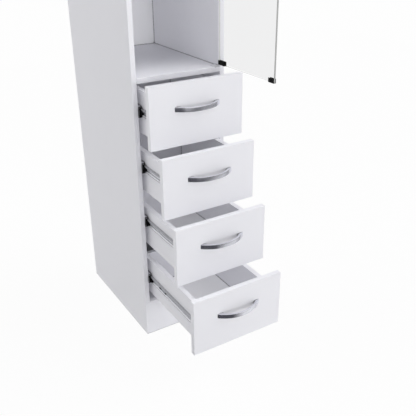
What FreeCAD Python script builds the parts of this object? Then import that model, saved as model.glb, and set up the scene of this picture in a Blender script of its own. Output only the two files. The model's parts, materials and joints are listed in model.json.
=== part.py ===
import FreeCAD
import Part
import Sketcher
import math
import os
import re

# Narrow linen cabinet of white laminated board. A tall glass door on pivot clamps closes the upper
# compartment, and four drawers with bow handles run on telescopic slides below it.
# Frame: x to the right seen from the front, y towards the wall, z up. The origin is on the floor, in
# the middle of the back plane. The drawers stand part open and the door a quarter turn open.

SIZES = {
    # carcass
    "carcass_width": 305,
    "carcass_depth": 456,
    "carcass_height": 1650,
    "board": 15,
    "board_round": 0.8,
    "plinth_height": 112,
    "shelf_level": 858,
    "back_sheet": 3,
    "back_recess": 26,
    "back_groove": 6,
    "back_play": 0.5,
    "wall_rail_height": 80,
    "wall_hole_radius": 3,
    "wall_hole_spacing": 180,
    # dowels that join the boards
    "dowel_radius": 4,
    "dowel_room": 0.1,
    "dowel_in_side": 10,
    "dowel_in_board": 24,
    "dowel_end_room": 1,
    "dowel_inset": 50,
    # loose shelves on pins
    "upper_space": 200,
    "middle_space": 195,
    "shelf_setback": 20,
    "shelf_play": 0.8,
    "pin_radius": 2.5,
    "pin_room": 0.1,
    "pin_in_side": 9,
    "pin_reach": 9,
    "pin_inset": 60,
    "pin_pitch": 32,
    # drawers
    "front_low": 132,
    "front_height": 182,
    "front_gap": 4,
    "front_thickness": 16,
    "front_round": 1.5,
    "closing_gap": 1,
    "opening_first": 82,
    "opening_second": 146,
    "opening_third": 210,
    "opening_fourth": 300,
    "box_rise": 20,
    "box_height": 128,
    "box_length": 364,
    "box_board": 15,
    "box_groove": 6,
    "bottom_rise": 4,
    "bottom_sheet": 3,
    # telescopic slides
    "slide_first": 86,
    "slide_second": 99.5,
    "slide_third": 105.5,
    "slide_fourth": 84,
    "slide_space": 12.7,
    "steel": 1.2,
    "running_gap": 0.3,
    "rail_setback": 2,
    "rail_length": 350,
    "rail_height": 35,
    "rail_reach": 9.5,
    "stop_length": 20,
    "stop_reach": 11.5,
    "mid_length": 228,
    "mid_height": 26.6,
    "mid_gap": 2.6,
    "mid_reach": 10.4,
    "mid_showing": 28,
    "end_length": 27,
    "end_wall": 2.2,
    "nose_height": 4,
    "nose_low": 0.5,
    "outer_cage_length": 46,
    "outer_cage_low": 3,
    "outer_cage_high": 8.5,
    "inner_cage_length": 60,
    "inner_cage_low": 6,
    "inner_cage_high": 9.8,
    "drawer_rail_height": 16.4,
    "drawer_rail_reach": 7.5,
    # bow handles
    "handle_length": 146,
    "handle_reach": 29,
    "handle_gap_length": 122,
    "handle_gap_reach": 23.5,
    "handle_band": 13.5,
    "handle_round": 1.2,
    "handle_level": 109,
    "screw_spacing": 128,
    "screw_radius": 2,
    "screw_room": 0.1,
    "screw_bite": 5,
    "screw_head_radius": 4,
    "screw_head": 2.5,
    # glass door on pivot clamps
    "glass": 5,
    "glass_width": 269.5,
    "glass_foot_room": 8,
    "pivot_forward": 6,
    "pivot_inward": 3.3,
    "glass_behind_pivot": 4,
    "clamp_wall": 1.5,
    "clamp_floor": 1.2,
    "clamp_length": 33,
    "clamp_height": 12.5,
    "clip_length": 23.5,
    "clip_height": 12,
    "plate": 1.5,
    "plate_width": 18,
    "plate_inside": 28,
    "plate_overhang": 12,
    "plate_shoulder": 4,
    "bush_radius": 4.5,
    "pivot_pin_radius": 2,
    # push latch for the door
    "latch_width": 14,
    "latch_height": 20,
    "latch_length": 62,
    "latch_setback": 2,
    "latch_inset": 12,
    "plunger_radius": 3.5,
    "plunger_length": 46,
    "plunger_drop": 12.5,
    "plunger_showing": 1.4,
}

# Lengths and places that follow from the sizes, each written as a sum of them.
DERIVED = {
    "half_width": "carcass_width / 2",
    "inner_half": "half_width - board",
    "front_plane": "0 - carcass_depth",
    "plinth_back": "front_plane + board",
    "plinth_top": "plinth_height + board",
    "sheet_rear": "0 - back_recess",
    "sheet_front": "sheet_rear - back_sheet",
    "sheet_half": "inner_half + back_groove - back_play",
    "top_under": "carcass_height - board",
    "shelf_top": "shelf_level + board",
    "shelf_half": "inner_half - shelf_play",
    "high_shelf_level": "top_under - upper_space - board",
    "low_shelf_level": "high_shelf_level - middle_space - board",
    "wall_rail_low": "top_under - wall_rail_height",
    "dowel_length": "dowel_in_side + dowel_in_board",
    "dowel_left": "0 - inner_half - dowel_in_side",
    "dowel_right": "inner_half - dowel_in_board",
    "pin_length": "pin_in_side + pin_reach",
    "pin_left": "0 - inner_half - pin_in_side",
    "pin_right": "inner_half - pin_reach",
    "box_half": "inner_half - slide_space",
    "box_inner": "box_half - box_board",
    "box_top": "box_rise + box_height",
    "slot_half": "box_inner + box_groove",
    "sheet_low": "box_rise + bottom_rise",
    "sheet_high": "sheet_low + bottom_sheet",
    "rail_half": "rail_height / 2",
    "rail_inner": "rail_half - steel",
    "rail_start": "front_plane + rail_setback",
    "stop_low": "mid_half + running_gap",
    "mid_half": "mid_height / 2",
    "mid_inner": "mid_half - steel",
    "mid_start": "front_plane - mid_showing",
    "drawer_rail_half": "drawer_rail_height / 2",
    "drawer_rail_start": "rail_setback + closing_gap",
    "drawer_rail_left": "0 - box_half - drawer_rail_reach",
    "screw_place": "screw_spacing / 2",
    "handle_radius": "(handle_length ^ 2 / 4 + handle_reach ^ 2) / (2 * handle_reach)",
    "handle_gap_radius": "(handle_gap_length ^ 2 / 4 + handle_gap_reach ^ 2) / (2 * handle_gap_reach)",
    "pivot_x": "inner_half - pivot_inward",
    "pivot_y": "front_plane - pivot_forward",
    "glass_left": "pivot_x - glass / 2",
    "glass_right": "pivot_x + glass / 2",
    "glass_rear": "pivot_y + glass_behind_pivot",
    "glass_free": "glass_rear - glass_width",
    "glass_low": "shelf_top + glass_foot_room",
    "glass_high": "top_under - glass_foot_room",
    "clamp_foot": "glass_low - clamp_floor",
    "clamp_head": "glass_high + clamp_floor",
    "latch_left": "latch_inset - inner_half",
    "latch_front": "front_plane + latch_setback",
    "plunger_x": "latch_left + latch_width / 2",
    "plunger_z": "top_under - plunger_drop",
    "plunger_tip": "front_plane - plunger_showing",
    "plunger_end": "plunger_tip + plunger_length",
}

# How far each drawer stands open, and the height of its slides above its front's lower edge.
DRAWERS = (
    ("opening_first", "slide_first"),
    ("opening_second", "slide_second"),
    ("opening_third", "slide_third"),
    ("opening_fourth", "slide_fourth"),
)
SMALL_SHARE = 1e-6

doc = FreeCAD.newDocument("linen_cabinet")
sheet = doc.addObject("Spreadsheet::Sheet", "sizes")
for row, (alias, value) in enumerate(SIZES.items(), start=1):
    sheet.set(f"A{row}", alias)
    sheet.set(f"B{row}", str(value))
    sheet.setAlias(f"B{row}", alias)
doc.recompute()

nodes = []


def formula(text):
    """Give a sum of named sizes as an expression on the sheet's cells."""
    def swap(match):
        word = match.group(0)
        if word in DERIVED:
            return "(" + formula(DERIVED[word]) + ")"
        return "sizes." + word if word in SIZES else word
    return re.sub(r"[a-z_]+", swap, text)


def bind(thing, prop, text):
    thing.setExpression(prop, formula(text))


def place(thing, **where):
    """Bind the x, y or z of an object's place."""
    for axis, text in where.items():
        bind(thing, "Placement.Base." + axis, text)
    return thing


def keep(thing, label):
    """Mark an object as one of the cabinet's pieces."""
    thing.Label = label
    nodes.append(thing)
    return thing


def minus(text):
    return f"0 - ({text})"


def both_ways(text):
    """Span from one side of the middle to the other."""
    return minus(text), text


def block(name, *spans, y="0", z="0"):
    """Box from a low to a high end along x, y and z, moved along by y and z."""
    solid = doc.addObject("Part::Box", name)
    for prop, axis, (low, high), way in zip(("Length", "Width", "Height"), "xyz", spans, ("0", y, z)):
        bind(solid, prop, f"({high}) - ({low})")
        place(solid, **{axis: f"({low}) + {way}"})
    return solid


X_AXIS = FreeCAD.Vector(1, 0, 0)
Y_AXIS = FreeCAD.Vector(0, 1, 0)
Z_AXIS = FreeCAD.Vector(0, 0, 1)
TURNS = {along: FreeCAD.Rotation(Z_AXIS, axis) for along, axis in zip("xyz", (X_AXIS, Y_AXIS, Z_AXIS))}


def rod(name, along, radius, length, start):
    """Round bar along one axis from its start point."""
    solid = doc.addObject("Part::Cylinder", name)
    solid.Placement = FreeCAD.Placement(FreeCAD.Vector(), TURNS[along])
    bind(solid, "Radius", radius)
    bind(solid, "Height", length)
    return place(solid, **dict(zip("xyz", start)))


def joined(name, pieces):
    """One piece made of several, or the piece itself where there is only one."""
    if len(pieces) == 1:
        return pieces[0]
    whole = doc.addObject("Part::MultiFuse", name)
    whole.Shapes = pieces
    return whole


def cut(name, base, tools):
    part = doc.addObject("Part::Cut", name)
    part.Base = base
    part.Tool = joined(name + "_tools", tools)
    return part


def group(name, pieces):
    """Several like pieces that lie apart, kept as one."""
    whole = doc.addObject("Part::Compound", name)
    whole.Links = pieces
    return whole


def mirrored(name, piece):
    """The same piece on the cabinet's other side."""
    other = doc.addObject("Part::Mirroring", name)
    other.Source = piece
    other.Normal = X_AXIS
    return other


def pair(name, left):
    return group(name, [left, mirrored(name + "_right", left)])


def flat_sketch(body, name):
    sketch = body.newObject("Sketcher::SketchObject", name)
    plane = next(item for item in body.Origin.OriginFeatures if item.Role == "XY_Plane")
    sketch.AttachmentSupport = [(plane, "")]
    sketch.MapMode = "FlatFace"
    return sketch


def size_line(sketch, label, constraint, text):
    """Add a named dimension to a sketch and bind it."""
    sketch.renameConstraint(sketch.addConstraint(constraint), label)
    bind(sketch, "Constraints." + label, text)


def rounded_pad(body, sketch, length, radius, wanted):
    """Pad a sketch and round those of its edges that are wanted."""
    pad = body.newObject("PartDesign::Pad", body.Name + "_pad")
    pad.Profile = sketch
    bind(pad, "Length", length)
    doc.recompute()
    box = pad.Shape.BoundBox
    edges = [f"Edge{n}" for n, edge in enumerate(pad.Shape.Edges, start=1) if wanted(edge, box)]
    soft = body.newObject("PartDesign::Fillet", body.Name + "_round")
    soft.Base = (pad, edges)
    bind(soft, "Radius", radius)
    body.Tip = soft
    return body


def soft_board(name, spans, radius, wanted):
    """Board with some of its edges rounded."""
    body = doc.addObject("PartDesign::Body", name)
    sketch = flat_sketch(body, name + "_outline")
    across, deep, tall = (f"({high}) - ({low})" for low, high in spans)
    start = SIZES["board"]
    corners = [FreeCAD.Vector(x, y, 0) for x, y in ((0, 0), (start, 0), (start, start), (0, start))]
    for n, corner in enumerate(corners):
        sketch.addGeometry(Part.LineSegment(corner, corners[(n + 1) % len(corners)]))
    for n in range(len(corners)):
        sketch.addConstraint(Sketcher.Constraint("Coincident", n, 2, (n + 1) % len(corners), 1))
        sketch.addConstraint(Sketcher.Constraint("Vertical" if n % 2 else "Horizontal", n))
    sketch.addConstraint(Sketcher.Constraint("Coincident", 0, 1, -1, 1))
    size_line(sketch, "across", Sketcher.Constraint("DistanceX", 0, 1, 0, 2, start), across)
    size_line(sketch, "deep", Sketcher.Constraint("DistanceY", 1, 1, 1, 2, start), deep)
    rounded_pad(body, sketch, tall, radius, wanted)
    return place(body, **{axis: low for axis, (low, high) in zip("xyz", spans)})


def upright_at_front(edge, box):
    middle = edge.CenterOfMass
    near = box.YLength * SMALL_SHARE
    return middle.y < near and abs(middle.z - box.ZLength / 2) < near


def not_at_back(edge, box):
    return edge.CenterOfMass.y < box.YLength * (1 - SMALL_SHARE)


def curved(edge, box):
    return isinstance(edge.Curve, Part.Circle)


# Boards that run between the two sides, and the places of their dowels.
ACROSS = both_ways("inner_half")
REAR_BOARD = ("0 - board", "0")


def level_board(low, back, front="front_plane"):
    """Spans of a level board and its row of dowels."""
    middle = low + " + board / 2"
    dowel_places = [("front_plane + dowel_inset", middle), ("sheet_front - dowel_inset", middle)]
    return (ACROSS, (front, back), (low, low + " + board")), dowel_places


CROSS_BOARDS = {
    "top_panel": level_board("top_under", "0"),
    "fixed_shelf": level_board("shelf_level", "sheet_front"),
    "bottom_panel": level_board("plinth_height", "sheet_front", front="plinth_back"),
    "plinth_rear": (
        (ACROSS, REAR_BOARD, ("0", "plinth_height")),
        [("0 - board / 2", "plinth_height / 2")],
    ),
    "wall_rail": (
        (ACROSS, REAR_BOARD, ("wall_rail_low", "top_under")),
        [("0 - board / 2", "wall_rail_low + wall_rail_height / 2")],
    ),
}

side_holes = {"left": [], "right": []}
dowels = []
for board_name, (spans, dowel_places) in CROSS_BOARDS.items():
    board_holes = []
    for n, (y, z) in enumerate(dowel_places):
        for side, hole_start in (("left", "dowel_left"), ("right", "dowel_right - dowel_end_room")):
            name = f"{board_name}_{side}_{n}"
            hole = rod(name + "_hole", "x", "dowel_radius + dowel_room",
                       "dowel_length + dowel_end_room", (hole_start, y, z))
            board_holes.append(hole)
            side_holes[side].append(hole)
            start = ("dowel_" + side, y, z)
            dowels.append(rod(name + "_dowel", "x", "dowel_radius", "dowel_length", start))
    if board_name == "wall_rail":
        for side, x in zip(side_holes, both_ways("wall_hole_spacing / 2")):
            start = (x, "0 - board", "wall_rail_low + wall_rail_height / 2")
            board_holes.append(rod(f"wall_hole_{side}", "y", "wall_hole_radius", "board", start))
    keep(cut(board_name, block(board_name + "_blank", *spans), board_holes), board_name)

# Front plinth board across the notched sides and the bottom, on a dowel in each side's edge.
PLINTH_PLACE = (("front_plane", "plinth_back"), ("0", "plinth_top"))
plinth_holes = []
for side, x in zip(side_holes, both_ways("half_width - board / 2")):
    start = (x, "plinth_back - dowel_in_side", "plinth_top / 2")
    hole = rod(f"plinth_front_{side}_hole", "y", "dowel_radius + dowel_room",
               "dowel_length + dowel_end_room", start)
    plinth_holes.append(hole)
    side_holes[side].append(hole)
    dowels.append(rod(f"plinth_front_{side}_dowel", "y", "dowel_radius", "dowel_length", start))
plinth_spans = (both_ways("half_width"), *PLINTH_PLACE)
plinth_blank = soft_board("plinth_front_blank", plinth_spans, "board_round", not_at_back)
keep(cut("plinth_front", plinth_blank, plinth_holes), "plinth_front")
keep(group("dowel_group", dowels), "dowels")

# Two loose shelves on pins, with spare pin holes above and below each one.
pins = []
for label, level in (("loose_shelf_low", "low_shelf_level"), ("loose_shelf_high", "high_shelf_level")):
    depth = ("front_plane + shelf_setback", "sheet_front - shelf_play")
    keep(block(label, both_ways("shelf_half"), depth, (level, level + " + board")), label)
    for where, y in (("front", "front_plane + pin_inset"), ("back", "sheet_front - pin_inset")):
        for step in (-1, 0, 1):
            z = f"{level} - pin_radius + {step} * pin_pitch"
            for side, hole_start in (("left", "pin_left"), ("right", "inner_half")):
                name = f"{label}_{where}_{side}_{step + 1}"
                hole = rod(name + "_hole", "x", "pin_radius + pin_room", "pin_in_side", (hole_start, y, z))
                side_holes[side].append(hole)
                if step == 0:
                    pins.append(rod(name + "_pin", "x", "pin_radius", "pin_length", ("pin_" + side, y, z)))
keep(group("pin_group", pins), "shelf_pins")

# Side boards, grooved for the back sheet and notched for the front plinth board.
BACK_SHEET = (("sheet_front", "sheet_rear"), ("plinth_height", "top_under"))
SIDE_BOARD = (("front_plane", "0"), ("0", "carcass_height"))
SIDE_SPANS = {
    "left": (("0 - half_width", "0 - inner_half"), ("0 - inner_half - back_groove", "0 - inner_half")),
    "right": (("inner_half", "half_width"), ("inner_half", "inner_half + back_groove")),
}
for side, (across, groove) in SIDE_SPANS.items():
    name = "side_panel_" + side
    blank = soft_board(name + "_blank", (across, *SIDE_BOARD), "board_round", upright_at_front)
    hollows = [block(name + "_groove", groove, *BACK_SHEET), block(name + "_notch", across, *PLINTH_PLACE)]
    keep(cut(name, blank, hollows + side_holes[side]), name)
keep(block("back_sheet_panel", both_ways("sheet_half"), *BACK_SHEET), "back_panel")


def channel(name, across, hollow, half, run):
    """Channel along y: its whole width, the hollow part of the width, half its height and its run."""
    outer = block(name + "_outer", across, run, both_ways(half))
    inside = block(name + "_inside", hollow, run, both_ways(half + " - steel"))
    return cut(name, outer, [inside])


def from_side(low, high):
    """Span that lies between two distances from the left side board's inner face."""
    return f"{low} - inner_half", f"{high} - inner_half"


def rail_nose(name, across):
    """Solid nose on the front of a middle rail, whose height grows to the rail's own."""
    nose = doc.addObject("Part::Wedge", name)
    spans = {"X": across, "X2": across, "Y": ("0", "end_length"), "Z": ("nose_low", "nose_low + nose_height"),
             "Z2": both_ways("mid_half")}
    for axis, (start, end) in spans.items():
        bind(nose, axis + "min", start)
        bind(nose, axis + "max", end)
    return nose


cabinet_rails = []
rail_stops = []


def build_slide(n, axis):
    """Fixed and rolling rails of one drawer, at the height of their axis."""
    fixed = channel(f"cabinet_rail_{n}", from_side("0", "rail_reach"), from_side("steel", "rail_reach"),
                    "rail_half", ("0", "rail_length"))
    place(fixed, y="rail_start", z=axis)
    cabinet_rails.extend([fixed, mirrored(f"cabinet_rail_{n}_right", fixed)])
    stop_width = from_side("steel", "stop_reach")
    for end, span in (("high", ("stop_low", "rail_inner")), ("low", ("0 - rail_inner", "0 - stop_low"))):
        stop = block(f"stop_{end}_{n}", stop_width, ("0", "stop_length"), span, y="rail_start", z=axis)
        rail_stops.extend([stop, mirrored(f"stop_{end}_{n}_right", stop)])

    mid_width = from_side("mid_gap", "mid_reach")
    rolling = channel(f"mid_channel_{n}", mid_width, from_side("mid_gap + steel", "mid_reach"),
                      "mid_half", ("end_length", "mid_length"))
    outer_run = ("mid_length - outer_cage_length", "mid_length")
    inner_run = ("end_length", "end_length + inner_cage_length")
    cages = []
    for kind, low, high, run in (
        ("outer", "mid_half", "rail_inner - running_gap", outer_run),
        ("inner", "drawer_rail_half + running_gap", "mid_inner", inner_run),
    ):
        width = from_side(kind + "_cage_low", kind + "_cage_high")
        cages.append(block(f"{kind}_cage_high_{n}", width, run, (low, high)))
        cages.append(block(f"{kind}_cage_low_{n}", width, run, (minus(high), minus(low))))
    rolling = joined(f"mid_rail_{n}", [rolling, *cages])
    nose = rail_nose(f"rail_nose_{n}", mid_width)
    end_hollow = block(f"end_hollow_{n}", from_side("mid_gap + end_wall", "mid_reach"), ("0", "end_length"),
                       both_ways("mid_inner"))
    end = cut(f"rail_end_{n}", nose, [end_hollow])
    for label, piece in (("mid_rails", rolling), ("rail_ends", end)):
        both = pair(f"{label}_pair_{n}", piece)
        keep(place(both, y="mid_start", z=axis), f"{label}_{n}")


def handle_bow(n):
    """Band bent to a bow whose two ends stand on the drawer front."""
    body = doc.addObject("PartDesign::Body", f"bow_{n}")
    sketch = flat_sketch(body, f"bow_outline_{n}")
    lengths = ("handle_length", "handle_gap_length")
    reaches = ("handle_reach", "handle_gap_reach")
    feet = []
    for length, reach in ((SIZES[a], SIZES[b]) for a, b in zip(lengths, reaches)):
        half = length / 2
        radius = (half ** 2 + reach ** 2) / (2 * reach)
        middle = radius - reach
        lean = math.atan2(middle, half)
        circle = Part.Circle(FreeCAD.Vector(0, middle, 0), Z_AXIS, radius)
        sketch.addGeometry(Part.ArcOfCircle(circle, math.pi + lean, 2 * math.pi - lean))
        feet.append(half)
    outer, inner = feet
    for a, b in ((outer, inner), (-inner, -outer)):
        sketch.addGeometry(Part.LineSegment(FreeCAD.Vector(a, 0, 0), FreeCAD.Vector(b, 0, 0)))
    for first, second in (((0, 2), (2, 1)), ((2, 2), (1, 2)), ((1, 1), (3, 1)), ((3, 2), (0, 1))):
        sketch.addConstraint(Sketcher.Constraint("Coincident", *first, *second))
    for arc, (length, radius) in enumerate(zip(lengths, ("handle_radius", "handle_gap_radius"))):
        for end in (1, 2):
            sketch.addConstraint(Sketcher.Constraint("PointOnObject", arc, end, -1))
        sketch.addConstraint(Sketcher.Constraint("PointOnObject", arc, 3, -2))
        span = Sketcher.Constraint("DistanceX", arc, 1, arc, 2, SIZES[length])
        size_line(sketch, length, span, length)
        bend = Sketcher.Constraint("Radius", arc, sketch.Geometry[arc].Radius)
        size_line(sketch, radius, bend, radius)
    rounded_pad(body, sketch, "handle_band", "handle_round", curved)
    return place(body, y="0 - front_thickness", z="handle_level - handle_band / 2")


def build_drawer(n, opening, slide, foot):
    """One drawer, its front's lower edge at the height of the foot and its slides higher than that."""
    way = f"(front_plane - closing_gap - {opening})"

    def piece(thing, label):
        keep(place(thing, y=way, z=foot), f"drawer_{n}_{label}")

    floor_spans = (both_ways("slot_half"), ("0 - box_groove", "box_length"), ("sheet_low", "sheet_high"))
    slot = block(f"drawer_slot_{n}", *floor_spans)
    front_spans = (both_ways("half_width"), ("0 - front_thickness", "0"), ("0", "front_height"))
    front = soft_board(f"front_blank_{n}", front_spans, "front_round", not_at_back)
    front_holes = []
    bow_holes = []
    screws = []
    for side, x in zip(("left", "right"), both_ways("screw_place")):
        in_front = (x, "0 - front_thickness", "handle_level")
        in_bow = (x, "0 - front_thickness - screw_bite", "handle_level")
        inside = (x, "0", "handle_level")
        hole_radius = "screw_radius + screw_room"
        front_holes.append(rod(f"front_hole_{side}_{n}", "y", hole_radius, "front_thickness", in_front))
        bow_holes.append(rod(f"bow_hole_{side}_{n}", "y", hole_radius, "screw_bite", in_bow))
        shank = rod(f"shank_{side}_{n}", "y", "screw_radius", "front_thickness + screw_bite", in_bow)
        head = rod(f"screw_head_{side}_{n}", "y", "screw_head_radius", "screw_head", inside)
        screws.append(joined(f"screw_{side}_{n}", [shank, head]))
    piece(cut(f"drawer_front_{n}", front, [slot, *front_holes]), "front")
    piece(group(f"handle_{n}", [cut(f"handle_band_{n}", handle_bow(n), bow_holes), *screws]), "handle")

    wall_spans = (("0 - box_half", "0 - box_inner"), ("0", "box_length"), ("box_rise", "box_top"))
    left_wall = cut(f"drawer_wall_{n}", block(f"wall_blank_{n}", *wall_spans), [slot])
    piece(group(f"drawer_side_{n}", [left_wall]), "side_left")
    piece(group(f"drawer_side_{n}_right", [mirrored(f"drawer_wall_{n}_right", left_wall)]), "side_right")
    back_run = ("box_length - box_board", "box_length")
    back_spans = (both_ways("box_inner"), back_run, ("sheet_high", "box_top"))
    for label, spans in (("back", back_spans), ("bottom", floor_spans)):
        keep(block(f"drawer_{label}_{n}", *spans, y=way, z=foot), f"drawer_{n}_{label}")
    rail = channel(f"drawer_rail_{n}", ("drawer_rail_left", "0 - box_half"),
                   ("drawer_rail_left", "0 - box_half - steel"), "drawer_rail_half",
                   ("drawer_rail_start", "drawer_rail_start + rail_length"))
    piece(pair(f"drawer_rails_{n}", place(rail, z=slide)), "rails")


for n, (opening, slide) in enumerate(DRAWERS, start=1):
    foot = f"(front_low + {len(DRAWERS) - n} * (front_height + front_gap))"
    build_slide(n, f"({foot} + {slide})")
    build_drawer(n, opening, slide, foot)
keep(group("cabinet_rail_group", cabinet_rails), "cabinet_rails")
keep(group("rail_stop_group", rail_stops), "rail_stops")

# Glass door, its two pivot clamps and the clips on its free corners.
GLASS_ACROSS = ("glass_left", "glass_right")
CLAMP_ACROSS = ("glass_left - clamp_wall", "glass_right + clamp_wall")
CLAMP_RUN = ("glass_rear - clamp_length", "glass_rear")
CLIP_RUN = ("glass_free", "glass_free + clip_length")
PLATE_ACROSS = ("inner_half - plate_width", "inner_half")
PLATE_FOOT_RUN = ("front_plane", "front_plane + plate_inside")
TONGUE_ACROSS = ("inner_half - plate_width", "inner_half + plate_shoulder")
TONGUE_RUN = ("front_plane - plate_overhang", "front_plane")
pane = block("door_pane", GLASS_ACROSS, ("glass_free", "glass_rear"), ("glass_low", "glass_high"))
keep(pane, "door_glass")

ENDS = {
    "low": {
        "clamp": ("clamp_foot", "clamp_foot + clamp_height"),
        "clip": ("clamp_foot", "clamp_foot + clip_height"),
        "plate": ("shelf_top", "shelf_top + plate"),
        "bush": ("shelf_top + plate", "clamp_foot - running_gap"),
        "pin": ("shelf_top", "clamp_foot"),
    },
    "high": {
        "clamp": ("clamp_head - clamp_height", "clamp_head"),
        "clip": ("clamp_head - clip_height", "clamp_head"),
        "plate": ("top_under - plate", "top_under"),
        "bush": ("clamp_head + running_gap", "top_under - plate"),
        "pin": ("clamp_head", "top_under"),
    },
}


def pivot_rod(name, radius, span):
    low, high = span
    return rod(name, "z", radius, f"{high} - ({low})", ("pivot_x", "pivot_y", low))


clips = []
plates = []
bushes = []
for end, spans in ENDS.items():
    clamp_blank = block(f"clamp_blank_{end}", CLAMP_ACROSS, CLAMP_RUN, spans["clamp"])
    clamp = cut(f"clamp_{end}", clamp_blank, [pane])
    pin = pivot_rod(f"pivot_pin_{end}", "pivot_pin_radius", spans["pin"])
    keep(joined(f"hinge_clamp_{end}_whole", [clamp, pin]), f"hinge_clamp_{end}")
    clip_blank = block(f"clip_blank_{end}", CLAMP_ACROSS, CLIP_RUN, spans["clip"])
    clips.append(cut(f"clip_{end}", clip_blank, [pane]))
    hole_radius = "pivot_pin_radius + running_gap"
    foot = block(f"plate_foot_{end}", PLATE_ACROSS, PLATE_FOOT_RUN, spans["plate"])
    tongue = block(f"plate_tongue_{end}", TONGUE_ACROSS, TONGUE_RUN, spans["plate"])
    plate = joined(f"plate_blank_{end}", [foot, tongue])
    plates.append(cut(f"plate_{end}", plate, [pivot_rod(f"plate_hole_{end}", hole_radius, spans["plate"])]))
    ring = pivot_rod(f"bush_blank_{end}", "bush_radius", spans["bush"])
    bushes.append(cut(f"bush_{end}", ring, [pivot_rod(f"bush_hole_{end}", hole_radius, spans["bush"])]))
keep(group("clip_group", clips), "corner_clips")
keep(group("plate_group", plates), "pivot_plates")
keep(group("bush_group", bushes), "pivot_bushes")

# Push latch under the top board, behind the door's upper clip.
case = block(
    "latch_blank",
    ("latch_left", "latch_left + latch_width"),
    ("latch_front", "latch_front + latch_length"),
    ("top_under - latch_height", "top_under"),
)
bore_length = "plunger_end - latch_front + running_gap"
bore_start = ("plunger_x", "latch_front", "plunger_z")
bore = rod("latch_bore", "y", "plunger_radius + running_gap", bore_length, bore_start)
keep(cut("latch_case", case, [bore]), "latch_body")
tip = ("plunger_x", "plunger_tip", "plunger_z")
keep(rod("latch_plunger_rod", "y", "plunger_radius", "plunger_length", tip), "latch_plunger")

doc.recompute()
faults = [item.Name for item in doc.Objects if {"Invalid", "Error"} & set(item.State)]
faults += [node.Label for node in nodes if node.Shape.isNull() or not node.Shape.isValid()]
if faults:
    raise RuntimeError("not built: " + ", ".join(faults))

os.makedirs("parts", exist_ok=True)
for node in nodes:
    node.Shape.exportStep(f"parts/{node.Label}.step")
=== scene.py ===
"""Looks of a narrow linen cabinet: white boards, a clear glass door, brushed bow handles and steel slides.

Lengths are in metres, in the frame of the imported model: x to the right, y towards the wall, z up.
"""

import json
import math

import bmesh
import bpy
from mathutils import Matrix, Vector


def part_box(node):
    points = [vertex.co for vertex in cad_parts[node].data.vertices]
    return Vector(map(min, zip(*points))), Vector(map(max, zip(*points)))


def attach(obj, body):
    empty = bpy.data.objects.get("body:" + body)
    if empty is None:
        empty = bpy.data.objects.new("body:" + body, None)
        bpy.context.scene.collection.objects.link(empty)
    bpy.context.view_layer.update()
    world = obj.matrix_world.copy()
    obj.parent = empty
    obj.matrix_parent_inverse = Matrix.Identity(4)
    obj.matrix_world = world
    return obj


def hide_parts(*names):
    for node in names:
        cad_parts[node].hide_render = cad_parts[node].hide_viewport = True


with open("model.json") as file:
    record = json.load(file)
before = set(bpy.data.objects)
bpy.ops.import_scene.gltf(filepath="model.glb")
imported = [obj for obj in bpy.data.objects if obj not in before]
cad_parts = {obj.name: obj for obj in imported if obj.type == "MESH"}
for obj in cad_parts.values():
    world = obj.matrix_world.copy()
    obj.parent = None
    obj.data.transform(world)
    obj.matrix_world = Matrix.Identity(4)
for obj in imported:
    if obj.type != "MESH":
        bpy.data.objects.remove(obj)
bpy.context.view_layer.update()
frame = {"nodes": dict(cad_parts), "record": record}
nodes = frame["nodes"]
MM = 0.001
DRAWERS = (1, 2, 3, 4)
# Directions along x to the drawer's left and right, and along y to the wall
SIDES = (-1, 1)
TO_WALL = (0, 1, 0)

# Colours of the finishes, as linear light
WHITE_BOARD = (0.845, 0.845, 0.885)
WHITE_FRONT = (0.86, 0.86, 0.9)
# The drawers' boards and the thin sheets are lighter than the board white: painted light that brightens the
# drawers' insides
WHITE_DRAWER = (0.865, 0.863, 0.905)
WHITE_SHEET = (0.885, 0.885, 0.905)
BEECH = (0.52, 0.36, 0.2)
NICKEL = (0.815, 0.82, 0.875)
# Darker copy of the nickel: painted shade on the bow's faces towards the drawer's front
SHADED_NICKEL = (0.4, 0.4, 0.42)
ZINC = (0.7, 0.705, 0.745)
# Rails of the drawers: a web darkened by painted shade, a band of painted light, painted shade on faces that
# look down and a painted highlight on the lip's faces that look up
RAIL_WEB_SHADE = (0.43, 0.434, 0.46)
RAIL_LIT_BAND = (0.8, 0.805, 0.85)
RAIL_UNDERSIDE_SHADE = (0.05, 0.05, 0.055)
RAIL_LIP_HIGHLIGHT = (0.95, 0.95, 0.995)
BLACK = (0.003, 0.003, 0.0035)
GLASS_FACE = (0.868, 0.869, 0.871)
GLASS_EDGE = (0.42, 0.425, 0.42)
# Pale colour on part of the hinge edge: a painted highlight
GLASS_EDGE_HIGHLIGHT = (0.93, 0.935, 0.935)
PAPER_WHITE = (0.93, 0.93, 0.93)
FLAG_DARK = (0.02, 0.02, 0.03)

# Noise of the finishes: marks to the metre, the tones between which a colour goes, how far the roughness
# departs from its middle, and the depth of the relief
MOTTLE_MARKS = 7
MOTTLE_TONES = (0.985, 1.012)
GLOSS_MARKS = 60
GLOSS_SPREAD = (-0.05, 0.05)
SKIN_MARKS = 700
NOISE_DETAIL = 3
SKIN_DETAIL = 2
FINE_SKIN = 0.06 * MM
COARSE_SKIN = 0.1 * MM
GRAIN_MARKS = 500
GRAIN_TONES = (0.75, 1.15)
GRAIN_DEPTH = 0.1 * MM
BRUSH_MARKS = 900
BRUSH_TONES = (0.9, 1.06)
BRUSH_SPREAD = (-0.05, 0.06)
BRUSH_DEPTH = 0.02 * MM
PLATING_TONES = (0.92, 1.06)
PLATING_METAL = 0.35
SPECK_MARKS = 80
SPECK_TONES = (0.7, 1.6)
PAINT_MARKS = 1500
PAINT_SPREAD = (-0.08, 0.08)
PAINT_DEPTH = 0.05 * MM
WAVE_MARKS = 3
WAVE_TONES = (0.992, 1.008)
STREAK_MARKS = 300
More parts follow.
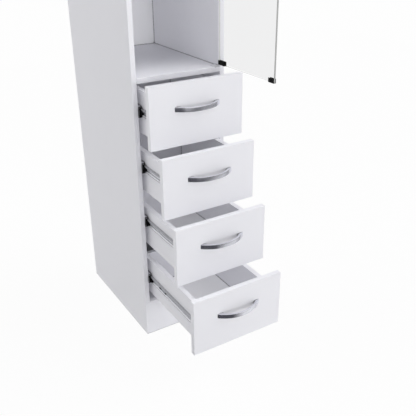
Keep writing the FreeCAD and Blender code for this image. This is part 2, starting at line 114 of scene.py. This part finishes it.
STREAK_TONES = (0.95, 1.04)
STREAK_DEPTH = 0.02 * MM
# Stretch of the marks, small along the axes that they follow
EVEN = (1, 1, 1)
ALONG_X = (0.05, 1, 1)
ALONG_Y = (1, 0.04, 1)
ALONG_Z = (1, 1, 0.05)
ALONG_BOW = (0.02, 0.02, 1)
# Thin glass hardly bends the light that crosses both its faces
GLASS_BEND = 1.03

# Painted shade in the inner corners of the boards, from ambient occlusion: how wide, how dark on boards and
# on mouldings, between which open shares, how finely sampled
CREASE_SHADE_REACH = 8 * MM
CREASE_SHADE_TONE = 0.35
MOULDING_SHADE_TONE = 0.9
CREASE_SHADE_OPEN_SHARES = (0.5, 0.72)
CREASE_SAMPLES = 8
# Painted shade on the bottom board, where drawers and walls close it in: how far it reaches deep inside, and
# the places along y between which it grows to that
DEEP_SHADE_REACH = 300 * MM
DEEP_SHADE_PLACES = (-400 * MM, -250 * MM)
# Painted shade under the lips of the slides' channels, as seen from above
CHANNEL_SHADE_REACH = 12 * MM
CHANNEL_SHADE_TONE = 0.15
CHANNEL_SHADE_OPEN_SHARES = (0.25, 0.6)
# Shares of a drawer rail's height: where its lower lip with painted highlight and shade ends, the middle of
# its band of painted light, and the distances from there at which that band fades into the shaded web
LIP_SHARES = (0.09, 0.13)
LIT_BAND_SHARE = 0.45
LIT_BAND_FADE_SHARES = (0.05, 0.2)

# Camera of the photograph, and how far it sees
LENS = 51.63
CAMERA_PLACE = Vector((-826.7, -1956.6, 1281.8)) * MM
CAMERA_YAW = math.radians(31.47)
CAMERA_PITCH = math.radians(26.27)
CAMERA_ROLL = math.radians(-0.49)
CAMERA_SIGHT = 100

# Light levels, where 1 renders a white as it is written
SKY_LEVEL = 0.3
# Lamps: the side that the light comes from, its height and its spread, in degrees, then its level, and
# whether it throws shadows
LAMPS = {
    "front_lamp": (0, 0, 20, 0.33, True),
    "right_lamp": (60, 30, 60, 0.41, True),
    "high_lamp": (90, 60, 40, 0.1, True),
    "rear_lamp": (-130, 50, 40, 0.175, True),
    "left_fill": (-85, 15, 40, 0.062, False),
    "rear_fill": (180, 30, 40, 0.25, False),
    "inside_fill": (0, 30, 40, 0.12, False),
    "edge_fill": (0, 0, 20, 0.045, False),
    "shelf_lamp": (0, 75, 30, 0.27, True),
    "wall_lamp": (-35, 10, 60, 0.13, True),
    "top_fill": (0, 90, 20, 0.1, False),
}
# Nodes that a lamp leaves out, such as those deep inside, or the only nodes that it lights
SHELVES = ["fixed_shelf", "loose_shelf_low", "loose_shelf_high"]
DEEP = ["bottom_panel", "drawer_1_bottom"] + [f"drawer_{n}_back" for n in DRAWERS]
INSIDES = ["plinth_front", "drawer_3_back", "drawer_4_back", "drawer_4_bottom"]
EDGES = [f"drawer_{n}_{part}" for n in DRAWERS for part in ("front", "side_left", "side_right", "rails")]
EDGES.remove("drawer_1_side_right")
LINKED = {
    "left_fill": ("EXCLUDE", DEEP + ["drawer_2_side_right"]),
    "rear_fill": ("EXCLUDE", DEEP + SHELVES + ["drawer_1_side_right"]),
    "inside_fill": ("INCLUDE", INSIDES),
    "edge_fill": ("INCLUDE", ["side_panel_left", "side_panel_right", "back_panel", "drawer_1_back"]),
    "shelf_lamp": ("INCLUDE", SHELVES),
    "wall_lamp": ("INCLUDE", ["side_panel_right", "back_panel"]),
    "top_fill": ("INCLUDE", EDGES),
}

# Floor, and a dark sheet on it that only mirrors see: painted dark reflections in the metal
FLOOR_SIZE = 40
FLOOR_ROUGHNESS = 0.9
FLOOR_GLOW = 0.93
FLAG_PLACE = Vector((0, -0.65, 0.002))
FLAG_SIZE = 9
FLAG_ROUGHNESS = 0.9
# Degrees of a turn, and the share of a turn where the sheet's front is
FULL_TURN = 360
FRONT_SHARE = 0.5
# Darkness of the sheet of painted reflection at some distances, by the angle round from the front, in degrees
# to the right
FLAG_DARKNESS = {
    0.45: ((-125, 0), (-110, 0.96), (-6, 0.95), (10, 0.5), (24, 0.14), (48, 0.08), (66, 0.22), (85, 0.62),
           (112, 0.66)),
    1.1: ((-125, 0), (-110, 0.96), (-10, 0.95), (32, 0.54), (64, 0.3), (95, 0.61), (115, 0.63)),
    2.7: ((-125, 0), (-110, 0.96), (-50, 0.97), (-36, 0.97), (-23, 0.6), (-12, 0.66), (8, 0.9), (22, 0.86),
          (40, 0.74), (60, 0.73), (85, 0.68), (112, 0.66)),
}


class Finish:
    """A material and the means to add nodes to it."""

    def __init__(self, name):
        self.material = bpy.data.materials.new(name)
        self.material.use_nodes = True
        self.tree = self.material.node_tree
        self.shader = self.tree.nodes["Principled BSDF"]
        self.place = self.add("TexCoord").outputs["Object"]

    def add(self, kind, **values):
        """Add a node. A value is a number, a colour or another node's output."""
        node = self.tree.nodes.new("ShaderNode" + kind)
        for key, value in values.items():
            self.put(node, key.replace("_", " "), value)
        return node

    def put(self, node, key, value):
        """Fill the input of a node that has this name."""
        socket = next(item for item in node.inputs if item.name.lower() == key.lower() and item.enabled)
        self.fill(socket, value)

    def fill(self, socket, value):
        """Link an input to another node's output, or give it a value."""
        if isinstance(value, bpy.types.NodeSocket):
            self.tree.links.new(value, socket)
        else:
            socket.default_value = (*value, 1.0) if socket.type == "RGBA" else value

    def set(self, **values):
        """Fill inputs of the shader."""
        for key, value in values.items():
            self.put(self.shader, key.replace("_", " "), value)

    def math(self, operation, *values):
        """Result of a sum on numbers and other nodes' outputs."""
        node = self.add("Math")
        node.operation = operation
        for socket, value in zip(node.inputs, values):
            self.fill(socket, value)
        return node.outputs[0]

    def part(self, vector, axis):
        """One of the three numbers of a vector."""
        return self.add("SeparateXYZ", vector=vector).outputs[axis]

    def noise(self, scale, detail=NOISE_DETAIL, stretch=EVEN):
        """Noise of a number of marks to the metre, longer along an axis where its stretch is small."""
        mapped = self.add("Mapping", vector=self.place, scale=stretch)
        return self.add("TexNoise", vector=mapped.outputs[0], scale=scale, detail=detail).outputs[0]

    def span(self, share, low, high, start=0.0, end=1.0):
        """Number that goes from low to high while a share goes from start to end."""
        limits = {"from_min": start, "from_max": end, "to_min": low, "to_max": high}
        return self.add("MapRange", value=share, **limits).outputs[0]

    def blend(self, share, low, high):
        """Colour that goes from low to high with a share."""
        mix = self.add("Mix")
        mix.data_type = "RGBA"
        for key, value in (("Factor", share), ("A", low), ("B", high)):
            self.put(mix, key, value)
        return next(item for item in mix.outputs if item.enabled)

    def tones(self, share, colour, limits):
        """Colour that goes from its darker tone to its lighter one with a share."""
        dark, light = limits
        return self.blend(share, shaded(colour, dark), shaded(colour, light))

    def open_share(self, reach, limits, **values):
        """Share of a place that is open within a reach: 0 below the limits and 1 above them."""
        occlusion = self.add("AmbientOcclusion", distance=reach, **values)
        occlusion.samples = CREASE_SAMPLES
        return self.span(occlusion.outputs["AO"], 0.0, 1.0, *limits)

    def roughen(self, share, rough, spread):
        """Let the roughness go from below its middle to above it with a share."""
        below, above = spread
        self.set(roughness=self.span(share, rough + below, rough + above))

    def bump(self, height, depth):
        """Give the surface a relief."""
        self.set(normal=self.add("Bump", height=height, distance=depth).outputs[0])

    def layer(self, share, low, high):
        """Show the shader high over the shader low, by a share."""
        mix = self.add("MixShader", fac=share)
        self.fill(mix.inputs[1], low.outputs[0])
        self.fill(mix.inputs[2], high.outputs[0])
        self.put(self.tree.nodes["Material Output"], "Surface", mix.outputs[0])


def shaded(colour, share):
    """Darker or lighter tone of a colour."""
    return tuple(value * share for value in colour)


def board_finish(name, colour, rough, skin=FINE_SKIN, crease_shade_tone=CREASE_SHADE_TONE, deep=False):
    """White faced board: soft mottling, a fine skin like an orange's, slightly uneven gloss, painted shade in
    creases.
    """
    finish = Finish(name)
    cloud = finish.tones(finish.noise(MOTTLE_MARKS), colour, MOTTLE_TONES)
    reach = CREASE_SHADE_REACH
    # Painted shade: on a deep board the reach of the corner darkening grows towards the back
    if deep:
        reach = finish.span(finish.part(finish.place, "Y"), CREASE_SHADE_REACH, DEEP_SHADE_REACH, *DEEP_SHADE_PLACES)
    # Painted shade: the colour darkens where ambient occlusion finds a corner or crease
    unshaded = finish.open_share(reach, CREASE_SHADE_OPEN_SHARES)
    finish.set(base_color=finish.blend(unshaded, shaded(colour, crease_shade_tone), cloud))
    finish.roughen(finish.noise(GLOSS_MARKS), rough, GLOSS_SPREAD)
    finish.bump(finish.noise(SKIN_MARKS, detail=SKIN_DETAIL), skin)
    return finish.material


def raw_wood_finish(name, colour, rough):
    """Bare wood with grain along x."""
    finish = Finish(name)
    grain = finish.noise(GRAIN_MARKS, stretch=ALONG_X)
    finish.set(base_color=finish.tones(grain, colour, GRAIN_TONES), roughness=rough)
    finish.bump(grain, GRAIN_DEPTH)
    return finish.material


def metal_finish(name, colour, rough, stretch):
    """Metal with fine brush marks along the axis whose stretch is small."""
    finish = Finish(name)
    lines = finish.noise(BRUSH_MARKS, stretch=stretch)
    finish.set(base_color=finish.tones(lines, colour, BRUSH_TONES), metallic=1.0)
    finish.roughen(lines, rough, BRUSH_SPREAD)
    finish.bump(lines, BRUSH_DEPTH)
    return finish.material


def plated_finish(name, colour, rough):
    """Dull zinc plating with rolling marks along y, and painted shade under the lips of the channels."""
    finish = Finish(name)
    lines = finish.noise(BRUSH_MARKS, stretch=ALONG_Y)
    plating = finish.tones(lines, colour, PLATING_TONES)
    # Painted shade: ambient occlusion, looked for upward, darkens the colour under the lips
    upward = finish.add("VectorMath")
    finish.fill(upward.inputs[0], finish.add("NewGeometry").outputs["Normal"])
    finish.fill(upward.inputs[1], (0, 0, 1))
    unshaded = finish.open_share(CHANNEL_SHADE_REACH, CHANNEL_SHADE_OPEN_SHARES, normal=upward.outputs[0])
    finish.set(base_color=finish.blend(unshaded, shaded(colour, CHANNEL_SHADE_TONE), plating), metallic=PLATING_METAL)
    finish.roughen(lines, rough, BRUSH_SPREAD)
    finish.bump(lines, BRUSH_DEPTH)
    return finish.material


def rail_finish(name, rough):
    """Plating of the drawers' rails with rolling marks along y, and painted light and shade: a band of
    painted light along the web's middle with painted shade above and below it, and on the lower lip a painted
    highlight on faces that look up and painted shade on faces that look down.
    """
    finish = Finish(name)
    lines = finish.noise(BRUSH_MARKS, stretch=ALONG_Y)
    height = finish.part(finish.add("TexCoord").outputs["Generated"], "Z")
    # Painted light in a band along the web's middle, fading into the web's painted shade
    off_lit_band = finish.math("ABSOLUTE", finish.math("SUBTRACT", height, LIT_BAND_SHARE))
    plating = finish.blend(finish.span(off_lit_band, 0.0, 1.0, *LIT_BAND_FADE_SHARES), RAIL_LIT_BAND, RAIL_WEB_SHADE)
    # On the lower lip, a painted highlight on faces that look up and painted shade on faces that look down
    upward = finish.part(finish.add("NewGeometry").outputs["Normal"], "Z")
    lip = finish.blend(upward, RAIL_UNDERSIDE_SHADE, RAIL_LIP_HIGHLIGHT)
    above = finish.span(height, 0.0, 1.0, *LIP_SHARES)
    finish.set(base_color=finish.blend(above, lip, plating), metallic=finish.span(above, 0.0, PLATING_METAL))
    finish.roughen(lines, rough, BRUSH_SPREAD)
    finish.bump(lines, BRUSH_DEPTH)
    return finish.material


def black_finish(name, rough, shine):
    """Black moulding or paint with a fine grain."""
    finish = Finish(name)
    grain = finish.noise(PAINT_MARKS)
    specks = finish.tones(finish.noise(SPECK_MARKS), BLACK, SPECK_TONES)
    finish.set(base_color=specks, specular_ior_level=shine)
    finish.roughen(grain, rough, PAINT_SPREAD)
    finish.bump(grain, PAINT_DEPTH)
    return finish.material


def glass_finish(name, colour):
    """Clear float glass with a faint unevenness."""
    finish = Finish(name)
    finish.set(base_color=finish.tones(finish.noise(WAVE_MARKS), colour, WAVE_TONES))
    finish.set(roughness=0.0, IOR=GLASS_BEND, transmission_weight=1.0)
    return finish.material


def ground_finish(name, colour, rough):
    """Edge of the glass, frosted and slightly streaked: ground, or pale as a painted highlight."""
    finish = Finish(name)
    streak = finish.noise(STREAK_MARKS, stretch=ALONG_Z)
    finish.set(base_color=finish.tones(streak, colour, STREAK_TONES), roughness=rough)
    finish.bump(streak, STREAK_DEPTH)
    return finish.material


carcass_board = board_finish("carcass_board", WHITE_BOARD, rough=0.42)
deep_shaded_board = board_finish("deep_shaded_board", WHITE_BOARD, rough=0.42, deep=True)
front_board = board_finish("front_board", WHITE_FRONT, rough=0.34)
drawer_board = board_finish("drawer_board", WHITE_DRAWER, rough=0.5)
thin_sheet = board_finish("thin_sheet", WHITE_SHEET, rough=0.55, skin=COARSE_SKIN)
white_moulding = board_finish("white_moulding", WHITE_BOARD, rough=0.45, crease_shade_tone=MOULDING_SHADE_TONE)
dowel_wood = raw_wood_finish("dowel_wood", BEECH, rough=0.7)
nickel = metal_finish("brushed_nickel", NICKEL, rough=0.17, stretch=ALONG_BOW)
shaded_nickel = metal_finish("shaded_nickel", SHADED_NICKEL, rough=0.35, stretch=ALONG_BOW)
zinc = plated_finish("zinc_steel", ZINC, rough=0.4)
rail_steel = rail_finish("rail_steel", rough=0.4)
pin_steel = metal_finish("pin_steel", ZINC, rough=0.25, stretch=ALONG_X)
black_plastic = black_finish("black_plastic", rough=0.55, shine=0.01)
black_metal = black_finish("black_metal", rough=0.5, shine=0.1)
glass_face = glass_finish("glass_face", GLASS_FACE)
glass_edge = ground_finish("glass_edge", GLASS_EDGE, rough=0.35)
glass_edge_highlight = ground_finish("glass_edge_highlight", GLASS_EDGE_HIGHLIGHT, rough=0.35)

# Finish of each CAD node, by the record's material slot. The bottom board and the drawers' rails have
# finishes of their own
FINISH_OF_SLOT = {
    "carcass_board": carcass_board,
    "front_board": front_board,
    "drawer_board": drawer_board,
    "thin_sheet": thin_sheet,
    "dowel_wood": dowel_wood,
    "slide_steel": zinc,
    "slide_plastic": black_plastic,
    "nickel": nickel,
    "glass": glass_face,
    "black_metal": black_metal,
    "pin_steel": pin_steel,
    "pale_plastic": white_moulding,
}
for subpart in frame["record"]["subparts"]:
    data = nodes[subpart["node"]].data
    data.materials.clear()
    data.materials.append(FINISH_OF_SLOT[subpart["material_slot"]])
# The bottom board gets painted shade that reaches further towards the back
nodes["bottom_panel"].data.materials[0] = deep_shaded_board
for n in DRAWERS:
    nodes[f"drawer_{n}_rails"].data.materials[0] = rail_steel


def piece(name, shape, materials, body, smooth_below=None):
    """Make an object of a bmesh and let it ride on a body. Edges flatter than an angle are shaded smooth."""
    mesh = bpy.data.meshes.new(name)
    shape.to_mesh(mesh)
    shape.free()
    for material in materials:
        mesh.materials.append(material)
    if smooth_below is not None:
        mesh.shade_smooth()
        mesh.set_sharp_from_angle(angle=smooth_below)
    thing = bpy.data.objects.new(name, mesh)
    bpy.context.scene.collection.objects.link(thing)
    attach(thing, body)
    return thing


# Steps of a softened edge and its roundness, and the sides of a round piece
SOFT_STEPS = 2
SOFT_PROFILE = 0.5
ROUND_SIDES = 24


def add_block(shape, low, high, soft):
    """Add a box with softened edges to a bmesh."""
    low, high = Vector(low), Vector(high)
    size = Matrix.Diagonal((*(high - low), 1.0))
    made = bmesh.ops.create_cube(shape, size=1.0, matrix=Matrix.Translation((low + high) / 2) @ size)
    edges = list(dict.fromkeys(edge for vert in made["verts"] for edge in vert.link_edges))
    bmesh.ops.bevel(shape, geom=edges, offset=soft, segments=SOFT_STEPS, profile=SOFT_PROFILE, affect="EDGES")


def add_rings(shape, rings, material=0):
    """Add the skin between rings of points, and the ends, to a bmesh."""
    rows = [[shape.verts.new(spot) for spot in ring] for ring in rings]
    faces = [shape.faces.new(list(reversed(rows[0]))), shape.faces.new(rows[-1])]
    for low, high in zip(rows, rows[1:]):
        for a in range(len(low)):
            b = (a + 1) % len(low)
            faces.append(shape.faces.new((low[a], low[b], high[b], high[a])))
    for face in faces:
        face.material_index = material


def add_turned(shape, foot, way, outline, material=0):
    """Add a round piece to a bmesh, by its outline of (distance along its way, radius)."""
    turn = Vector(way).to_track_quat("Z", "Y").to_matrix()
    angles = [2 * math.pi * step / ROUND_SIDES for step in range(ROUND_SIDES)]
    rings = []
    for along, radius in outline:
        spots = [Vector((radius * math.cos(angle), radius * math.sin(angle), along)) for angle in angles]
        rings.append([Vector(foot) + turn @ spot for spot in spots])
    add_rings(shape, rings, material)


# Pane: its softened edges, its materials beside the clear glass, the share of a normal along y above which a
# face is on an upright edge, and the share of the hinge edge that has a painted highlight
PANE_SOFT = 0.7 * MM
GROUND, EDGE_HIGHLIGHT = 1, 2
EDGE_SHARE = 0.1
EDGE_HIGHLIGHT_SHARE = 0.6


def build_pane():
    """Glass of the door, with a ground free edge and a hinge edge that is partly ground and partly a pale
    painted highlight.
    """
    low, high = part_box("door_glass")
    shape = bmesh.new()
    add_block(shape, low, high, soft=PANE_SOFT)
    border = low.lerp(high, EDGE_HIGHLIGHT_SHARE)
    everything = [*shape.verts, *shape.edges, *shape.faces]
    bmesh.ops.bisect_plane(shape, geom=everything, plane_co=border, plane_no=(1, 0, 0))
    # The pale share of the hinge edge is a painted highlight
    for face in shape.faces:
        if abs(face.normal.y) > EDGE_SHARE:
            pale = face.normal.y > 0 and face.calc_center_median().x < border.x
            face.material_index = EDGE_HIGHLIGHT if pale else GROUND
    pane = piece("door_pane", shape, [glass_face, glass_edge, glass_edge_highlight], "door")
    pane.visible_shadow = False
    pane.visible_diffuse = False
    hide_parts("door_glass")


# Bow handle: half length and reach of its outer and inner arcs, its band and its screws
BOW_OUTER = (73 * MM, 29 * MM)
BOW_INNER = (61 * MM, 23.5 * MM)
BOW_BAND = 13.5 * MM
BOW_ROUND = 0.4 * MM
BOW_CROWN = 0.1 * MM
BOW_STEPS = 48
ROUND_STEPS = 4
SCREW_PLACE = 64 * MM
SMOOTH_BELOW = math.radians(35)
# Materials of the bow, and the share of a normal towards the drawer's front above which a face takes a darker
# copy of the nickel as painted shade
BRIGHT, SCREW, INNER_SHADE = 0, 1, 2
INNER_SHADE_SHARE = 0.3
# Pan head of a screw: rings from its foot to the rim of its drive hole and the hole's floor
SCREW_OUTLINE = [(along * MM, radius * MM) for along, radius in (
    (0, 4.0), (0.9, 4.0), (1.8, 3.4), (2.3, 2.4), (2.4, 1.6), (1.0, 1.2))]


def arc_point(half, reach, share):
    """Point of an arc that stands on a straight face: x along the face and its distance from the face."""
    radius = (half ** 2 + reach ** 2) / (2 * reach)
    angle = (2 * share - 1) * math.asin(half / radius)
    return Vector((radius * math.sin(angle), radius * math.cos(angle) - (radius - reach)))


def band_section():
    """Half of the band's section, as pairs of depth below its face and level."""
    flat = BOW_BAND / 2 - BOW_ROUND
    turns = [math.pi / 2 * step / ROUND_STEPS for step in range(ROUND_STEPS + 1)]
    lower = [(BOW_CROWN + BOW_ROUND * (1 - math.sin(t)), -flat - BOW_ROUND * math.cos(t)) for t in turns]
    face = [(BOW_CROWN * (level / flat) ** 2, level) for level in (-flat / 2, 0.0, flat / 2)]
    upper = [(depth, -level) for depth, level in reversed(lower)]
    return lower + face + upper


def build_handle(n):
    """Bow handle of one drawer with a slightly crowned band, and its two screws behind the front."""
    low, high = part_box(f"drawer_{n}_front")
    bow_low, bow_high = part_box(f"drawer_{n}_handle")
    level = (bow_low.z + bow_high.z) / 2
    section = band_section()
    rings = []
    for step in range(BOW_STEPS + 1):
        outer = arc_point(*BOW_OUTER, step / BOW_STEPS)
        inner = arc_point(*BOW_INNER, step / BOW_STEPS)
        inward = (inner - outer).normalized()
        spots = [(outer + inward * depth, z) for depth, z in section]
        spots += [(inner - inward * depth, z) for depth, z in reversed(section)]
        rings.append([Vector((spot.x, low.y - max(spot.y, 0), level + z)) for spot, z in spots])
    shape = bmesh.new()
    add_rings(shape, rings)
    for x in (-SCREW_PLACE, SCREW_PLACE):
        add_turned(shape, (x, high.y, level), TO_WALL, SCREW_OUTLINE, material=SCREW)
    bmesh.ops.recalc_face_normals(shape, faces=shape.faces)
    # Painted shade: faces that look towards the drawer's front take the darker nickel
    for face in shape.faces:
        if face.material_index == BRIGHT and face.normal.y > INNER_SHADE_SHARE:
            face.material_index = INNER_SHADE
    bow = piece(f"bow_{n}", shape, [nickel, pin_steel, shaded_nickel], f"drawer_{n}", SMOOTH_BELOW)
    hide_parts(f"drawer_{n}_handle")


# Slide details, by distance behind the drawer front's rear face and height above the slide's axis
RAIL_SCREW_OUTLINE = [(along * MM, radius * MM) for along, radius in (
    (0, 3.4), (0.5, 3.2), (1.0, 2.4), (1.1, 1.4), (0.4, 1.0))]
RAIL_SCREWS = (40 * MM, 136 * MM, 296 * MM)
# A release lever: a thin steel arm and two black lumps, each by its start, end, foot and top
LEVER_ARM = (200 * MM, 244 * MM, -6.4 * MM, -5.6 * MM)
LEVER_LUMPS = (
    (200 * MM, 206 * MM, -6.0 * MM, -2.6 * MM),
    (236 * MM, 244 * MM, -6.0 * MM, -2.2 * MM),
)
LEVER_DEPTH = 2.5 * MM
LEVER_SOFT = 0.3 * MM
WEB = 1.2 * MM


def build_slide_details(n):
    """Black release levers and screw heads inside the rails on the drawer's sides."""
    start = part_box(f"drawer_{n}_front")[1].y
    low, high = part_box(f"drawer_{n}_rails")
    axis = (low.z + high.z) / 2
    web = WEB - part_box(f"drawer_{n}_side_left")[0].x
    lumps, steel = bmesh.new(), bmesh.new()
    for side in SIDES:
        near, far = sorted((side * web, side * (web + LEVER_DEPTH)))
        for shape, blocks in ((lumps, LEVER_LUMPS), (steel, [LEVER_ARM])):
            for front, rear, foot, top in blocks:
                corner = (near, start + front, axis + foot)
                add_block(shape, corner, (far, start + rear, axis + top), soft=LEVER_SOFT)
        for place in RAIL_SCREWS:
            add_turned(steel, (side * web, start + place, axis), (side, 0, 0), RAIL_SCREW_OUTLINE)
    piece(f"release_levers_{n}", lumps, [black_plastic], f"drawer_{n}")
    piece(f"rail_screws_{n}", steel, [pin_steel], f"drawer_{n}", SMOOTH_BELOW)


build_pane()
for n in DRAWERS:
    build_handle(n)
    build_slide_details(n)


def new_plane(name, size, place):
    """Level plane that belongs to the stage."""
    bpy.ops.mesh.primitive_plane_add(size=size, location=place)
    plane = bpy.context.object
    plane.name = name
    return plane


def build_floor():
    """Wide pale floor that is white to the camera, in mirrors and through glass, and takes a faint shadow."""
    floor = new_plane("floor", FLOOR_SIZE, (0, 0, 0))
    finish = Finish("floor")
    finish.set(base_color=PAPER_WHITE, roughness=FLOOR_ROUGHNESS)
    paths = finish.add("LightPath").outputs
    seen = finish.math("MAXIMUM", paths["Is Camera Ray"], paths["Is Transmission Ray"])
    seen = finish.math("MULTIPLY", seen, FLOOR_GLOW)
    seen = finish.math("MAXIMUM", seen, paths["Is Glossy Ray"])
    finish.layer(seen, finish.shader, finish.add("Emission", color=(1, 1, 1)))
    floor.data.materials.append(finish.material)


def flag_ring(finish, around, darkness):
    """How clear the sheet of painted reflection is at one distance, by the share of a turn around it."""
    ramp = finish.add("ValToRGB", fac=around)
    stops = ramp.color_ramp.elements
    while len(stops) < len(darkness):
        stops.new(FRONT_SHARE)
    for stop, (angle, dark) in zip(stops, darkness):
        stop.position = FRONT_SHARE + angle / FULL_TURN
        stop.color = (1 - dark, 1 - dark, 1 - dark, 1)
    return ramp.outputs["Color"]


def build_flag():
    """Dark sheet on the floor with soft borders that only mirrors see: painted dark reflections in the bright
    metal.
    """
    flag = new_plane("flag", FLAG_SIZE, FLAG_PLACE)
    for kind in ("camera", "diffuse", "transmission", "volume_scatter", "shadow"):
        setattr(flag, "visible_" + kind, False)
    finish = Finish("flag")
    turned = finish.add("Mapping", vector=finish.place, rotation=(0, 0, math.pi / 2))
    around = finish.add("TexGradient", vector=turned.outputs[0])
    around.gradient_type = "RADIAL"
    distance = finish.add("VectorMath", vector=finish.place)
    distance.operation = "LENGTH"
    reaches = list(FLAG_DARKNESS)
    rings = [flag_ring(finish, around.outputs["Fac"], darkness) for darkness in FLAG_DARKNESS.values()]
    clear = rings[0]
    for near, far, ring in zip(reaches, reaches[1:], rings[1:]):
        outward = finish.span(distance.outputs["Value"], 0.0, 1.0, start=near, end=far)
        clear = finish.blend(outward, clear, ring)
    finish.set(base_color=FLAG_DARK, roughness=FLAG_ROUGHNESS)
    finish.layer(clear, finish.shader, finish.add("BsdfTransparent"))
    flag.data.materials.append(finish.material)


def light_from(side, height):
    """Direction that light comes from, by the angle round from the front and the angle above the floor."""
    side, height = math.radians(side), math.radians(height)
    across = math.cos(height)
    return Vector((math.sin(side) * across, -math.cos(side) * across, math.sin(height)))


def receivers(name, state, members):
    """Collection of nodes that a lamp leaves out, or that are the only ones it lights."""
    group = bpy.data.collections.new(name)
    for member in members:
        group.objects.link(nodes[member])
    for entry in group.collection_objects:
        entry.light_linking.link_state = state
    return group


def build_sky():
    """Even pale sky, which is white where it is seen."""
    world = bpy.data.worlds.new("studio")
    bpy.context.scene.world = world
    world.use_nodes = True
    tree = world.node_tree
    sky = tree.nodes["Background"]
    sky.inputs["Color"].default_value = (1, 1, 1, 1)
    paths = tree.nodes.new("ShaderNodeLightPath")
    seen = paths.outputs["Is Camera Ray"]
    for kind in ("Is Glossy Ray", "Is Transmission Ray"):
        either = tree.nodes.new("ShaderNodeMath")
        either.operation = "MAXIMUM"
        tree.links.new(seen, either.inputs[0])
        tree.links.new(paths.outputs[kind], either.inputs[1])
        seen = either.outputs[0]
    strength = tree.nodes.new("ShaderNodeMapRange")
    tree.links.new(seen, strength.inputs["Value"])
    strength.inputs["To Min"].default_value = SKY_LEVEL
    strength.inputs["To Max"].default_value = 1.0
    tree.links.new(strength.outputs[0], sky.inputs["Strength"])


def build_lamps():
    """Wide soft lamps, which metal and glass don't mirror."""
    for name, (side, height, spread, level, shadow) in LAMPS.items():
        lamp = bpy.data.lights.new(name, "SUN")
        lamp.energy = level * math.pi
        lamp.angle = math.radians(spread)
        lamp.use_shadow = shadow
        holder = bpy.data.objects.new(name, lamp)
        holder.rotation_mode = "QUATERNION"
        holder.rotation_quaternion = light_from(side, height).to_track_quat("Z", "Y")
        holder.visible_glossy = False
        holder.visible_transmission = False
        if name in LINKED:
            holder.light_linking.receiver_collection = receivers(name, *LINKED[name])
        bpy.context.scene.collection.objects.link(holder)


def build_camera():
    """Camera at the place and angle of the photograph."""
    data = bpy.data.cameras.new("camera")
    data.lens = LENS
    data.clip_end = CAMERA_SIGHT
    holder = bpy.data.objects.new("camera", data)
    turn = Matrix.Rotation(-CAMERA_YAW, 4, "Z") @ Matrix.Rotation(math.pi / 2 - CAMERA_PITCH, 4, "X")
    holder.matrix_world = Matrix.Translation(CAMERA_PLACE) @ turn @ Matrix.Rotation(CAMERA_ROLL, 4, "Z")
    bpy.context.scene.collection.objects.link(holder)
    bpy.context.scene.camera = holder


build_floor()
build_flag()
build_sky()
build_lamps()
build_camera()
bpy.context.scene.view_settings.view_transform = "Standard"
